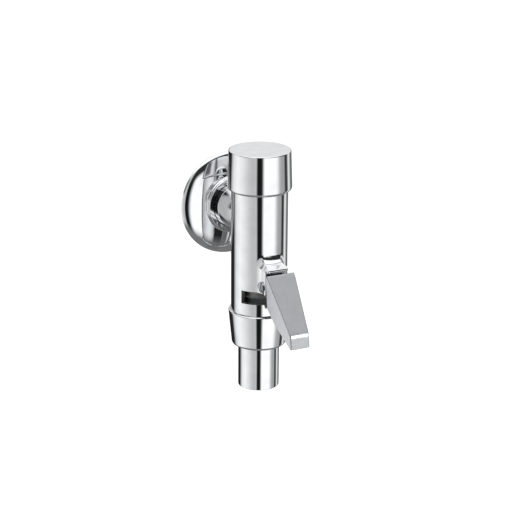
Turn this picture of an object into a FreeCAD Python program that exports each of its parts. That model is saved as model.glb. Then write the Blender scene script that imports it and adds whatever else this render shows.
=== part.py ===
import FreeCAD, Part
import math
import os

# Flush valve, in millimetres. The origin is on the inlet's axis in the plane of the wall. +Z is up, the wall
# lies at +Y and the lever points to -Y. The body's upright axis stands in front of the wall.

# Body casting
wall_to_axis = 46.5
body_r = 19.0
body_top_z = 21.0
upper_wall = 4.0
lower_wall = 3.5
collar_step = 2.0
collar_height = 16.0
neck_wall = 2.8
neck_end_y = -5.0
port_r = 9.5
boss_blend = 7.0
body_end_round = 0.4
body_top_round = 0.3
collar_round = 0.4
neck_fillet = 2.0

# Seat and outlet chamber
seat_z = -15.5
seat_bore_r = 9.0
seat_lip = 1.0
seat_lip_height = 0.4
seat_flange_thickness = 1.1
seat_ring_wall = 3.0
web_thickness = 3.0
seat_flange_gap = 1.3
seat_ring_round = 0.3
outlet_chamber_wall = 5.5
outlet_floor = 2.5

# Air slot and interrupter
slot_below_pin = 4.7
slot_height = 9.1
slot_half_angle = 65.0
air_gap_below_slot = 0.4
pocket_into_air = 0.2
air_gap_height = 18.5
nozzle_tube_wall = 1.8
tube_to_pocket = 0.2
nozzle_tube_length = 5.5
nozzle_wall = 1.6
nozzle_length = 12.0
nozzle_flange_thickness = 1.5
nozzle_taper = 1.2
nozzle_root = 0.5
nozzle_mouth = 1.0
nozzle_top_gap = 0.1
nozzle_top_round = 0.3
nozzle_flange_round = 0.4
nozzle_groove_rise = 1.6
nozzle_groove_height = 1.8
nozzle_groove_depth = 1.2
nozzle_seal_play = 0.1

# Outlet joint and flush pipe
pipe_r = 14.0
pipe_wall = 1.0
pipe_shown = 30.4
pipe_depth = 14.0
pipe_mark_width = 0.5
pipe_mark_depth = 0.3
pipe_mark_below_nut = 0.1
pipe_end_round = 0.4
nut_below_slot = 8.6
nut_height = 25.0
nut_lip = 2.0
nut_lip_stand = 1.85
nut_lip_gap = 0.65
nut_end_wall = 0.85
nut_lip_seat = 0.15
nut_top_round = 1.0
nut_corner = 2.2
nut_floor = 3.6
nut_hole_play = 0.1
outlet_wall = 3.2
outlet_thread_length = 15.2
cone_width = 2.5
cone_entry = 0.3
cone_slack = 0.35
cone_gap = 0.05
cone_gap_up = 0.1
slip_ring_thickness = 1.2

# Cap
cap_height = 27.3
cap_gap = 0.2
cap_stand_low = 2.7
cap_stand_top = 1.8
cap_corner = 2.2
cap_top_wall = 3.2
cap_plug_height = 6.5
cap_plug_wall = 2.8
cap_top_round = 0.8
cap_groove_rise = 1.5
cap_groove_depth = 1.2
cap_groove_height = 2.6
cap_seal_play = 0.1

# Inlet connection and rosette
thread_r = 13.2
socket_depth = 14.0
nipple_reach = 14.0
nipple_relief = 1.2
nipple_relief_width = 2.0
nipple_collar_lip = 0.3
nipple_collar_gap = 0.2
nipple_end_round = 0.8
nipple_collar_width = 2.6
strainer_thickness = 0.8
strainer_hole_r = 0.9
strainer_circles = 3
strainer_first_circle = 6
strainer_spread = 3.6
strainer_play = 0.6
washer_thickness = 2.0
washer_stand = 0.2
washer_play = 0.3
rosette_r = 36.6
rosette_bulge = 7.0
rosette_sheet = 1.0
rosette_depth = 9.0
rosette_hub_round = 0.8
rosette_hub_root = 1.0
rosette_ring_width = 3.0
rosette_ring_height = 2.4
rosette_ring_play = 0.1

# Boss and visor for the lever
boss_half_width = 8.0
boss_stand = 5.6
boss_edge = 1.2
pocket_above_pin = 7.4
pocket_depth = 7.0
pad_thickness = 3.0
pad_margin = 2.2
visor_reach = 9.2
visor_top_above_pin = 16.5
visor_drop = 2.9
visor_under_above_pin = 11.8
visor_half_width_root = 5.2
visor_half_width_front = 7.8
visor_edge = 1.5

# Lever and its pivot. The lever's and the tongue's corners are counted from the pin: outwards, then up.
pin_stand = 1.6
pin_z = -40.4
pin_r = 2.0
pin_head_r = 3.6
pin_head_height = 1.4
pin_slot_width = 0.9
pin_slot_depth = 0.7
pin_end_cover = 1.0
pin_head_play = 0.2
pin_slot_angle = 20.0
pin_round = 0.4
bush_wall = 0.6
bush_flange_r = 3.4
bush_flange_thickness = 0.7
bush_spacing = 0.6
tongue_half_width = 3.8
hub_r = 4.4
lever_travel = 20.0
cam_angle = 20.0
cam_flat = 3.8
cam_reach = 7.0
cam_nose = 1.6
tongue_joint_top = 8.0
tongue_joint_low = 20.0
tongue_hollow = (12.0, -9.0)
tongue_hollow_round = 3.0
tongue_low_out = 1.0
tongue_low_cover = 0.6
lever_top = (12.0, 10.2)
lever_crown = (10.9, 11.2)
lever_knee = (39.0, -22.0)
lever_tip = (40.0, -31.0)
lever_tip_back = (38.4, -31.4)
lever_heel = (18.4, -22.4)
lever_back_low = (7.3, -12.6)
lever_back_top = (10.0, 11.0)
lever_half_width_top = 10.4
lever_half_width_low = 7.0
lever_knee_round = 7.0
lever_wall = 2.2
lever_front_wall = 2.6
lever_edge = 0.8
lever_crown_round = 1.2
lever_tip_round = 0.4
lever_heel_round = 8.0
lever_back_round = 1.5
lever_hollow_round = 5.0
lever_hollow_step = 4.0
lever_back_reach = 4.5

# Plunger
plunger_drop = 1.0
plunger_head_r = 2.5
plunger_head_length = 0.8
plunger_r = 1.25
plunger_bush_r = 3.5
plunger_bush_flange = 0.6
plunger_bush_flange_r = 4.2
plunger_bush_end = 4.5
plunger_bush_round = 0.4
plunger_bush_flange_round = 0.2
plunger_head_play = 0.25
plunger_spring_room = 3.5
plunger_seal_cover = 1.0
plunger_seal_width = 1.4
plunger_seal_height = 1.1
plunger_seal_play = 0.05
plunger_spring_wire = 0.35
plunger_spring_turns = 3

# Piston and relief valve
piston_flange_z = 8.0
piston_flange_height = 8.0
piston_waist_r = 9.0
piston_cavity_r = 6.5
piston_floor_z = -7.0
piston_lower_flange = 3.0
piston_spigot_r = 5.0
piston_spigot_length = 5.0
piston_play = 0.4
piston_seat_margin = 2.0
piston_round = 0.5
piston_waist_round = 1.0
fin_count = 4
fin_root = 0.5
fin_thickness = 1.6
fin_height = 9.0
lip_seal_height = 3.5
lip_seal_width = 2.6
lip_seal_offset = 2.5
lip_seal_floor = 1.4
lip_seal_lip = 0.7
lip_seal_spread = 0.8
lip_seal_round = 0.4
lip_seal_edge = 0.6
lip_seal_slope = 0.6
lip_seal_inner_wall = 0.5
main_washer_thickness = 3.0
main_washer_margin = 1.5
washer_nut_height = 3.0
washer_nut_play = 0.6
washer_nut_taper = 1.2
washer_nut_round = 0.4
relief_bore_r = 3.5
relief_disc_r = 5.2
relief_disc_height = 2.0
relief_seal_height = 1.5
relief_seal_width = 1.4
relief_spigot_r = 1.8
relief_spigot_height = 3.5
relief_round = 0.5
relief_disc_round = 0.4
relief_shoulder = 0.9
stem_r = 1.5
stem_past_plunger = 1.6
stem_gap = 0.2
relief_seat_disc = 1.0
relief_seat_z = 9.0
relief_seat_hole_r = 1.1
relief_seat_holes = 6
relief_seat_rim = 1.5
bleed_place_r = 10.6
bleed_r = 1.0
bleed_jet_r = 0.35
bleed_head = 0.8
bleed_head_lip = 0.6
piston_spring_r = 8.2
piston_spring_wire = 1.2
piston_spring_turns = 6
relief_spring_r = 3.4
relief_spring_wire = 0.5
relief_spring_turns = 5

# Clearances
thread_clearance = 0.05
slide_clearance = 0.05
seal_clearance = 0.03
loose_clearance = 0.3
cut_over = 1.0

# Worked out from the values above
cylinder_r = body_r - upper_wall
air_r = body_r - lower_wall
collar_r = body_r - collar_step
collar_top_z = body_top_z + collar_height
neck_r = thread_r + neck_wall
pin_out = body_r + pin_stand
boss_front = body_r + boss_stand
visor_front = body_r + visor_reach
visor_top_z = pin_z + visor_top_above_pin
visor_under_z = pin_z + visor_under_above_pin
pocket_half_width = tongue_half_width + bush_flange_thickness + loose_clearance
pocket_top_z = pin_z + pocket_above_pin
pocket_floor = body_r - pocket_depth
nozzle_tube_r = pocket_floor - tube_to_pocket - nozzle_tube_wall
slot_top_z = pin_z - slot_below_pin
slot_low_z = slot_top_z - slot_height
nut_top_z = slot_low_z - nut_below_slot
nut_end_z = nut_top_z - nut_height
pipe_end_z = nut_end_z - pipe_shown
body_end_z = nut_top_z - nut_lip - outlet_thread_length
pipe_bore_r = pipe_r + loose_clearance
outlet_thread_r = pipe_bore_r + outlet_wall
nut_mouth_r = max(body_r, outlet_thread_r + thread_clearance)
pipe_top_z = body_end_z + pipe_depth
web_top_z = seat_z - seat_lip_height - seat_flange_thickness
web_low_z = web_top_z - web_thickness
seat_ring_r = seat_bore_r + seat_ring_wall
outlet_chamber_r = body_r - outlet_chamber_wall
air_top_z = slot_top_z - air_gap_below_slot
air_low_z = air_top_z - air_gap_height
outlet_floor_z = air_top_z + outlet_floor
nozzle_tube_end_z = air_top_z - nozzle_tube_length
cap_low_z = body_top_z + cap_gap
cap_top_z = cap_low_z + cap_height
cap_ceiling_z = cap_top_z - cap_top_wall
plunger_z = pin_z - plunger_drop
socket_end_y = neck_end_y - socket_depth
nipple_end_y = socket_end_y + strainer_thickness + washer_thickness
piston_top_z = piston_flange_z + piston_flange_height
washer_top_z = seat_z + main_washer_thickness
cap_plug_r = cylinder_r - loose_clearance
cap_groove_low_z = collar_top_z - cap_plug_height + cap_groove_rise
seat_flange_r = cylinder_r - seat_flange_gap
piston_seal_low_z = piston_flange_z + lip_seal_offset
nozzle_groove_low_z = nozzle_tube_end_z + nozzle_groove_rise


def head_centre(angle):
    """Distance along Y from the pin to the centre of the plunger's round head, with the cam at this angle."""
    turn = math.radians(angle)
    return (cam_flat + plunger_head_r + plunger_drop * math.sin(turn)) / math.cos(turn)


head_y = -pin_out + head_centre(cam_angle) + slide_clearance
plunger_stroke = head_centre(cam_angle + lever_travel) - head_centre(cam_angle)
plunger_room_y = head_y + plunger_head_length + plunger_spring_room
plunger_seal_y = plunger_room_y + plunger_seal_cover

# Each frame is an origin, the direction that heights run in and the direction that radii run in
UPRIGHT = (FreeCAD.Vector(0, -wall_to_axis, 0), FreeCAD.Vector(0, 0, 1), FreeCAD.Vector(1, 0, 0))
INLET = (FreeCAD.Vector(0, 0, 0), FreeCAD.Vector(0, 1, 0), FreeCAD.Vector(1, 0, 0))
PLUNGER = (FreeCAD.Vector(0, -wall_to_axis, plunger_z), FreeCAD.Vector(0, 1, 0), FreeCAD.Vector(1, 0, 0))
PIN = (FreeCAD.Vector(0, -wall_to_axis - pin_out, pin_z), FreeCAD.Vector(1, 0, 0), FreeCAD.Vector(0, 1, 0))


def outline(points, place):
    """Closed wire through (a, b) points. A third number rounds that corner with an arc of that radius."""
    corners = []
    count = len(points)
    for number, point in enumerate(points):
        here = place(point[0], point[1])
        radius = point[2] if len(point) > 2 else 0
        if not radius:
            corners.append((here, None, here))
            continue
        before = points[number - 1]
        after = points[(number + 1) % count]
        back = (place(before[0], before[1]) - here).normalize()
        ahead = (place(after[0], after[1]) - here).normalize()
        half = back.getAngle(ahead) / 2
        cut = radius / math.tan(half)
        middle = here + (back + ahead).normalize() * (radius / math.sin(half) - radius)
        corners.append((here + back * cut, middle, here + ahead * cut))
    edges = []
    for number, (start, middle, end) in enumerate(corners):
        if middle is not None:
            edges.append(Part.Arc(start, middle, end).toShape())
        following = corners[(number + 1) % count][0]
        if end.distanceToPoint(following) > 1e-6:
            edges.append(Part.makeLine(end, following))
    return Part.Wire(edges)


def turned(frame, points):
    """Solid of revolution about a frame's axis, from (radius, height) points."""
    origin, along, radial = frame
    wire = outline(points, lambda radius, height: origin + radial * radius + along * height)
    return Part.Face(wire).revolve(origin, along, 360)


def rod(frame, radius, low, high):
    """Plain cylinder on a frame's axis between two heights."""
    origin, along, _ = frame
    return Part.makeCylinder(radius, high - low, origin + along * low, along)


def ring(frame, inner, outer, low, high):
    """Plain ring on a frame's axis between two heights."""
    return rod(frame, outer, low, high).cut(rod(frame, inner, low, high))


def beside_axis(distance):
    """Frame that stands beside the body's axis, at a distance towards +X."""
    return UPRIGHT[0] + FreeCAD.Vector(distance, 0, 0), UPRIGHT[1], UPRIGHT[2]


def block(half_width, y_low, y_high, z_low, z_high):
    """Box that is centred on X. Its Y values are counted from the body's axis."""
    corner = FreeCAD.Vector(-half_width, y_low - wall_to_axis, z_low)
    return Part.makeBox(2 * half_width, y_high - y_low, z_high - z_low, corner)


def side_plate(points, half_width):
    """Plate that is centred on X, from (outwards, up) points that are counted from the pin."""
    wire = outline(points, lambda out, up: PIN[0] + FreeCAD.Vector(-half_width, -out, up))
    return Part.Face(wire).extrude(FreeCAD.Vector(2 * half_width, 0, 0))


def front_plate(half_profile, length):
    """Plate that faces the front, from the pin outwards. Its (x, up) points for +X are mirrored for -X."""
    points = half_profile + [(-x, up) for x, up in reversed(half_profile)]
    wire = outline(points, lambda x, up: PIN[0] + FreeCAD.Vector(x, 0, up))
    return Part.Face(wire).extrude(FreeCAD.Vector(0, -length, 0))


def along_x(radius, start, length):
    """Plain cylinder about the pin's axis, from a place on X."""
    return Part.makeCylinder(radius, length, PIN[0] + FreeCAD.Vector(start, 0, 0), FreeCAD.Vector(1, 0, 0))


def edges_where(shape, test):
    """The shape's edges whose middle point passes a test."""
    chosen = []
    for edge in shape.Edges:
        if test(edge.valueAt((edge.FirstParameter + edge.LastParameter) / 2)):
            chosen.append(edge)
    return chosen


def arc_between(start, tangent, end):
    """Arc that leaves start along a tangent and reaches end."""
    chord = end - start
    turn = tangent.getAngle(chord)
    middle = (start + end) * 0.5
    corner = start + tangent * (chord.Length / 2 / math.cos(turn))
    share = math.tan(turn / 2) / math.tan(turn)
    return Part.Arc(start, middle + (corner - middle) * share, end).toShape()


def spring(frame, radius, wire, low, high, turns):
    """Open coil spring on a frame's axis. Its line is a pair of tangent arcs for each quarter turn."""
    origin, along, radial = frame
    across = along.cross(radial)
    bottom = low + wire / 2
    rise = (high - low - wire) / (turns * 2 * math.pi)

    def point(angle):
        return origin + radial * (radius * math.cos(angle)) + across * (radius * math.sin(angle)) \
            + along * (bottom + rise * angle)

    def tangent(angle):
        round_part = across * (radius * math.cos(angle)) - radial * (radius * math.sin(angle))
        return (round_part + along * rise).normalize()

    edges = []
    for quarter in range(4 * turns):
        begin = quarter * math.pi / 2
        finish = begin + math.pi / 2
        first, last = point(begin), point(finish)
        leave, arrive = tangent(begin), tangent(finish)
        chord = last - first
        both = leave + arrive
        bend = 2 * (1 - leave.dot(arrive))
        reach = (math.sqrt(chord.dot(both) ** 2 + bend * chord.dot(chord)) - chord.dot(both)) / bend
        joint = (first + leave * reach + last - arrive * reach) * 0.5
        edges.append(arc_between(first, leave, joint))
        middle_tangent = (last - arrive * reach - first - leave * reach).normalize()
        edges.append(arc_between(joint, middle_tangent, last))
    path = Part.Wire(edges)
    circle = Part.Wire([Part.makeCircle(wire / 2, point(0), tangent(0))])
    return path.makePipeShell([circle], True, False)


def one_solid(shape):
    """The single solid that a cut or a fusion leaves, with split faces joined."""
    clean = shape.removeSplitter()
    return clean.Solids[0] if len(clean.Solids) == 1 else clean


def boss_and_visor():
    """Solid boss for the lever, with the visor over it. It runs down past the air slot, which trims it."""
    boss = block(boss_half_width, -boss_front, 0, slot_low_z, visor_under_z)
    root = body_r / 2
    slope = visor_drop / (visor_front - body_r)
    spread = (visor_half_width_front - visor_half_width_root) / (visor_front - body_r)

    def section(out):
        """Upright section of the visor at a distance in front of the body's axis."""
        top = visor_top_z - slope * (out - body_r)
        half_width = visor_half_width_root + spread * (out - body_r)
        corners = [
            (-boss_half_width, visor_under_z), (boss_half_width, visor_under_z), (half_width, top),
            (-half_width, top)]
        return outline(corners, lambda x, z: FreeCAD.Vector(x, -wall_to_axis - out, z))

    visor = Part.makeLoft([section(root), section(visor_front)], True, True)
    solid = one_solid(boss.fuse(visor))
    boss_y = -wall_to_axis - boss_front
    boss_edges = edges_where(
        solid, lambda middle: abs(middle.y - boss_y) < 0.01 and abs(abs(middle.x) - boss_half_width) < 0.01)
    solid = solid.makeFillet(boss_edge, boss_edges)
    visor_y = -wall_to_axis - visor_front
    visor_edges = edges_where(
        solid, lambda middle: abs(middle.y - visor_y) < 0.01 and middle.z > visor_under_z + 0.1)
    return solid.makeFillet(visor_edge, visor_edges)


def blended(casting):
    """The casting with a wide hollow where the boss and the visor meet the body, and one round the neck."""
    def on_body(point):
        return abs(math.hypot(point.x, point.y + wall_to_axis) - body_r) < 0.02

    boss_edges = edges_where(
        casting, lambda middle: on_body(middle) and middle.y < -wall_to_axis
        and slot_low_z < middle.z < visor_top_z + visor_drop)
    casting = casting.makeFillet(boss_blend, boss_edges)
    neck_edges = edges_where(
        casting, lambda middle: on_body(middle) and middle.y > -wall_to_axis
        and abs(middle.z) <= neck_r + cut_over)
    return casting.makeFillet(neck_fillet, neck_edges)


def valve_body():
    """Cast body with its collar, outlet thread, inlet neck, lever boss, air slot and water ways."""
    shell = turned(UPRIGHT, [
        (0, body_end_z), (outlet_thread_r, body_end_z, body_end_round),
        (outlet_thread_r, nut_top_z - nut_lip), (body_r, nut_top_z - nut_lip),
        (body_r, body_top_z, body_top_round), (collar_r, body_top_z),
        (collar_r, collar_top_z, collar_round), (0, collar_top_z)])
    neck = rod(INLET, neck_r, -wall_to_axis, neck_end_y)
    casting = blended(one_solid(shell.fuse([neck, boss_and_visor()])))

    pad = block(pocket_half_width + pad_margin, -body_r, pad_thickness - pocket_floor, slot_low_z,
                pocket_top_z + pad_thickness)
    outlet_chamber = rod(UPRIGHT, outlet_chamber_r, outlet_floor_z, web_low_z).cut(pad)
    air_space = ring(UPRIGHT, nozzle_tube_r + nozzle_tube_wall, air_r, nozzle_tube_end_z, air_top_z).fuse(
        rod(UPRIGHT, air_r, air_low_z, nozzle_tube_end_z))
    pipe_bore = turned(UPRIGHT, [
        (0, body_end_z - cut_over), (pipe_bore_r + cone_width, body_end_z - cut_over),
        (pipe_bore_r + cone_width - cone_entry, body_end_z),
        (pipe_bore_r, body_end_z + cone_width - cone_entry), (pipe_bore_r, pipe_top_z),
        (pipe_bore_r - 2 * pipe_wall, pipe_top_z), (pipe_bore_r - 2 * pipe_wall, air_low_z + cut_over),
        (0, air_low_z + cut_over)])
    slot_wedge = Part.makeCylinder(
        2 * body_r, slot_height, FreeCAD.Vector(0, -wall_to_axis, slot_low_z), FreeCAD.Vector(0, 0, 1),
        2 * slot_half_angle)
    slot_wedge.rotate(UPRIGHT[0], UPRIGHT[1], 270 - slot_half_angle)
    slot = slot_wedge.cut(rod(UPRIGHT, air_r - loose_clearance, slot_low_z, slot_top_z))
    pocket = block(pocket_half_width, -boss_front - cut_over, -pocket_floor, air_top_z - pocket_into_air,
                   pocket_top_z)
    cheek = along_x(pin_r + slide_clearance, -boss_half_width, 2 * boss_half_width - pin_end_cover)
    spot_face = along_x(pin_head_r + pin_head_play, -boss_half_width - body_r, body_r)
    bush_bore = rod(PLUNGER, plunger_bush_r + thread_clearance, -pocket_floor - cut_over,
                    pad_thickness - pocket_floor + cut_over)
    return one_solid(casting.cut([
        rod(UPRIGHT, cylinder_r, web_top_z, collar_top_z + cut_over),
        rod(UPRIGHT, seat_ring_r, web_low_z - cut_over, web_top_z + cut_over),
        outlet_chamber,
        rod(UPRIGHT, nozzle_tube_r, nozzle_tube_end_z - cut_over, outlet_floor_z + cut_over),
        air_space,
        pipe_bore,
        slot,
        pocket,
        cheek,
        spot_face,
        bush_bore,
        rod(INLET, thread_r + thread_clearance, socket_end_y, neck_end_y + cut_over),
        rod(INLET, port_r, -wall_to_axis + cylinder_r / 2, socket_end_y + cut_over)]))


def top_cap():
    """Screwed cap with a plug that reaches into the body's collar."""
    low_r = body_r + cap_stand_low
    top_r = body_r + cap_stand_top
    thread = collar_r + thread_clearance
    plug_low_z = collar_top_z - cap_plug_height
    groove_high = cap_groove_low_z + cap_groove_height
    groove_r = cap_plug_r - cap_groove_depth
    bore_r = cap_plug_r - cap_plug_wall
    return turned(UPRIGHT, [
        (0, cap_top_z), (top_r, cap_top_z, cap_top_round), (low_r, cap_low_z, cap_corner),
        (thread, cap_low_z), (thread, collar_top_z), (cap_plug_r, collar_top_z), (cap_plug_r, groove_high),
        (groove_r, groove_high), (groove_r, cap_groove_low_z), (cap_plug_r, cap_groove_low_z),
        (cap_plug_r, plug_low_z), (bore_r, plug_low_z), (bore_r, cap_ceiling_z), (0, cap_ceiling_z)])


def cap_seal():
    """Rubber ring in the groove of the cap's plug."""
    low = cap_groove_low_z + cap_seal_play
    high = cap_groove_low_z + cap_groove_height - cap_seal_play
    return ring(UPRIGHT, cap_plug_r - cap_groove_depth, cylinder_r, low, high)


def seat_ring():
    """Seat with a raised lip, pressed into the body's web."""
    flange_top_z = seat_z - seat_lip_height
    return turned(UPRIGHT, [
        (seat_bore_r, web_low_z), (seat_ring_r, web_low_z, seat_ring_round), (seat_ring_r, web_top_z),
        (seat_flange_r, web_top_z), (seat_flange_r, flange_top_z), (seat_bore_r + seat_lip, flange_top_z),
        (seat_bore_r + seat_lip, seat_z), (seat_bore_r, seat_z)])


def piston():
    """Main piston: sealing flange on top, waist with guide fins, and a spigot for the washer."""
    flange_r = cylinder_r - piston_play
    groove_r = cylinder_r - lip_seal_width
    seal_high_z = piston_seal_low_z + lip_seal_height
    low_flange_r = seat_bore_r + seat_lip + piston_seat_margin
    low_flange_z = washer_top_z + piston_lower_flange
    spigot_z = washer_top_z - piston_spigot_length
    core = turned(UPRIGHT, [
        (relief_bore_r, spigot_z), (piston_spigot_r, spigot_z), (piston_spigot_r, washer_top_z),
        (low_flange_r, washer_top_z), (low_flange_r, low_flange_z),
        (piston_waist_r, low_flange_z, piston_waist_round),
        (piston_waist_r, piston_flange_z, piston_waist_round),
        (flange_r, piston_flange_z), (flange_r, piston_seal_low_z), (groove_r, piston_seal_low_z),
        (groove_r, seal_high_z), (flange_r, seal_high_z), (flange_r, piston_top_z, piston_round),
        (piston_cavity_r, piston_top_z), (piston_cavity_r, piston_floor_z), (relief_bore_r, piston_floor_z)])
    fin_low = low_flange_z - fin_root
    fins = []
    for number in range(fin_count):
        corner = FreeCAD.Vector(piston_waist_r - fin_root, -wall_to_axis - fin_thickness / 2, fin_low)
        fin = Part.makeBox(flange_r - piston_waist_r + fin_root, fin_thickness, fin_height, corner)
        fin.rotate(UPRIGHT[0], UPRIGHT[1], 360 / fin_count * (number + 0.5))
        fins.append(fin)
    guide = rod(UPRIGHT, flange_r, fin_low, fin_low + fin_height)
    with_fins = core.fuse([fin.common(guide) for fin in fins])
    bleed_hole = rod(
        beside_axis(bleed_place_r), bleed_r + thread_clearance,
        piston_flange_z - cut_over, piston_top_z + cut_over)
    return one_solid(with_fins.cut(bleed_hole))


def piston_lip_seal():
    """Cup seal in the piston's groove, with its lip turned up."""
    inner = cylinder_r - lip_seal_width
    outer = cylinder_r - slide_clearance
    low = piston_seal_low_z
    high = low + lip_seal_height
    floor = low + lip_seal_floor
    return turned(UPRIGHT, [
        (inner, low), (outer - lip_seal_spread, low, lip_seal_round), (outer, high - lip_seal_edge),
        (outer, high), (outer - lip_seal_lip, high), (outer - lip_seal_lip - lip_seal_slope, floor),
        (inner + lip_seal_spread, floor), (inner + lip_seal_inner_wall, high), (inner, high)])


def main_washer():
    """Rubber washer that closes on the seat."""
    outer = seat_bore_r + seat_lip + main_washer_margin
    return ring(UPRIGHT, piston_spigot_r + thread_clearance, outer, seat_z, washer_top_z)


def washer_nut():
    """Nut that holds the washer and guides the flow into the seat."""
    outer = seat_bore_r - washer_nut_play
    inner = piston_spigot_r + thread_clearance
    low = seat_z - washer_nut_height
    return turned(UPRIGHT, [
        (inner, low), (outer - washer_nut_taper, low, washer_nut_round), (outer, seat_z - washer_nut_taper),
        (outer, seat_z), (inner, seat_z)])


def bleed_nozzle():
    """Small brass jet through the piston's flange."""
    head_r = bleed_r + bleed_head_lip
    head_z = piston_top_z + bleed_head
    return turned(beside_axis(bleed_place_r), [
        (bleed_jet_r, piston_flange_z), (bleed_r, piston_flange_z), (bleed_r, piston_top_z),
        (head_r, piston_top_z), (head_r, head_z), (bleed_jet_r, head_z)])


def relief_valve():
    """Tilting disc with its spigot and its long hanging stem."""
    disc_z = piston_floor_z + relief_seal_height
    disc_top_z = disc_z + relief_disc_height
    spigot_top_z = disc_top_z + relief_spigot_height
    low = plunger_z - stem_past_plunger
    return turned(UPRIGHT, [
        (0, low), (stem_r, low, relief_round), (stem_r, piston_floor_z), (stem_r + relief_shoulder, disc_z),
        (relief_disc_r, disc_z), (relief_disc_r, disc_top_z, relief_disc_round),
        (relief_spigot_r, disc_top_z), (relief_spigot_r, spigot_top_z, relief_round), (0, spigot_top_z)])


def relief_seal():
    """Rubber ring under the relief valve's disc."""
    return ring(UPRIGHT, relief_disc_r - relief_seal_width, relief_disc_r, piston_floor_z,
                piston_floor_z + relief_seal_height)


def relief_spring():
    """Spring that closes the relief valve."""
    low = piston_floor_z + relief_seal_height + relief_disc_height
    return spring(UPRIGHT, relief_spring_r, relief_spring_wire, low, relief_seat_z, relief_spring_turns)


def relief_spring_seat():
    """Perforated disc that the relief spring pushes against."""
    disc = rod(UPRIGHT, piston_cavity_r, relief_seat_z, relief_seat_z + relief_seat_disc)
    holes = []
    circle_r = piston_cavity_r - relief_seat_rim
    for number in range(relief_seat_holes):
        turn = 2 * math.pi * number / relief_seat_holes
        centre = UPRIGHT[0] + FreeCAD.Vector(
            circle_r * math.cos(turn), circle_r * math.sin(turn), relief_seat_z - cut_over)
        holes.append(Part.makeCylinder(relief_seat_hole_r, relief_seat_disc + 2 * cut_over, centre))
    return disc.cut(holes)


def piston_spring():
    """Spring between the cap and the piston."""
    return spring(
        UPRIGHT, piston_spring_r, piston_spring_wire, piston_top_z, cap_ceiling_z, piston_spring_turns)


def interrupter_nozzle():
    """Jet nozzle of the pipe interrupter. The air slot opens round it."""
    outer = nozzle_tube_r - thread_clearance
    top = air_top_z - nozzle_top_gap
    low = nozzle_tube_end_z - nozzle_flange_thickness
    end = low - nozzle_length
    groove_r = outer - nozzle_groove_depth
    groove_high = nozzle_groove_low_z + nozzle_groove_height
    flange_r = nozzle_tube_r + nozzle_tube_wall
    inner = outer - 2 * nozzle_wall
    return turned(UPRIGHT, [
        (inner + nozzle_mouth, top), (outer, top, nozzle_top_round), (outer, groove_high),
        (groove_r, groove_high), (groove_r, nozzle_groove_low_z), (outer, nozzle_groove_low_z),
        (outer, nozzle_tube_end_z), (flange_r, nozzle_tube_end_z), (flange_r, low, nozzle_flange_round),
        (inner + nozzle_wall + nozzle_root, low), (inner + nozzle_wall - nozzle_taper, end),
        (inner - nozzle_taper, end), (inner, low)])


def nozzle_seal():
    """Rubber ring between the nozzle and the body's tube."""
    inner = nozzle_tube_r - thread_clearance - nozzle_groove_depth
    low = nozzle_groove_low_z + nozzle_seal_play
    high = nozzle_groove_low_z + nozzle_groove_height - nozzle_seal_play
    return ring(UPRIGHT, inner, nozzle_tube_r, low, high)


def union_nut():
    """Tapered nut of the outlet joint, with a thin lip round the body."""
    thread = outlet_thread_r + thread_clearance
    hole_r = pipe_bore_r + nut_hole_play
    floor_z = nut_end_z + nut_floor
    lip_low_z = nut_top_z - nut_lip
    lip_r = nut_mouth_r + nut_lip_seat
    return turned(UPRIGHT, [
        (nut_mouth_r + nut_lip_gap, nut_top_z), (nut_mouth_r + nut_lip_stand, nut_top_z, nut_top_round),
        (outlet_thread_r + nut_end_wall, nut_end_z, nut_corner), (hole_r, nut_end_z), (hole_r, floor_z),
        (thread, floor_z), (thread, lip_low_z), (lip_r, lip_low_z), (lip_r, nut_top_z - nut_lip / 2)])


def cone_seal():
    """Tapered rubber ring that the nut squeezes between the body and the pipe."""
    inner = pipe_r + seal_clearance
    floor = nut_end_z + nut_floor + slip_ring_thickness
    tip_z = body_end_z + cone_width - cone_entry - cone_gap_up
    wide_r = pipe_bore_r + cone_width - cone_slack
    return turned(UPRIGHT, [
        (inner, floor), (wide_r, floor), (wide_r, body_end_z - cone_gap), (pipe_bore_r - cone_gap, tip_z),
        (inner, tip_z)])


def slip_ring():
    """Hard ring that lets the nut turn on the cone seal."""
    floor = nut_end_z + nut_floor
    outer = outlet_thread_r - loose_clearance
    return ring(UPRIGHT, pipe_r + seal_clearance, outer, floor, floor + slip_ring_thickness)


def flush_pipe():
    """Stub of the flush pipe, with a fine groove that marks how far it goes in."""
    inner = pipe_r - pipe_wall
    top = pipe_top_z - loose_clearance
    mark_r = pipe_r - pipe_mark_depth
    mark_high = nut_end_z - pipe_mark_below_nut
    mark_low = mark_high - pipe_mark_width
    return turned(UPRIGHT, [
        (inner, pipe_end_z), (pipe_r, pipe_end_z, pipe_end_round), (pipe_r, mark_low), (mark_r, mark_low),
        (mark_r, mark_high), (pipe_r, mark_high), (pipe_r, top), (inner, top)])


def inlet_nipple():
    """Threaded connector from the wall into the neck, with a six-sided collar."""
    bore = port_r
    collar_low = neck_end_y + nipple_collar_gap
    collar_high = collar_low + nipple_collar_width
    relief_r = thread_r - nipple_relief
    tube = turned(INLET, [
        (bore, nipple_end_y), (thread_r, nipple_end_y, nipple_end_round), (thread_r, -nipple_relief_width),
        (relief_r, -nipple_relief_width), (relief_r, 0), (thread_r, 0),
        (thread_r, nipple_reach, nipple_end_round), (bore, nipple_reach)])
    across = 2 * (thread_r + nipple_collar_lip) / math.sqrt(3)
    corners = []
    for number in range(6):
        turn = math.radians(60 * number + 30)
        corners.append((across * math.cos(turn), across * math.sin(turn)))
    wire = outline(corners, lambda x, z: FreeCAD.Vector(x, collar_low, z))
    collar = Part.Face(wire).extrude(FreeCAD.Vector(0, nipple_collar_width, 0))
    collar = collar.cut(rod(INLET, (bore + thread_r) / 2, collar_low - cut_over, collar_high + cut_over))
    return one_solid(tube.fuse(collar))


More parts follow.
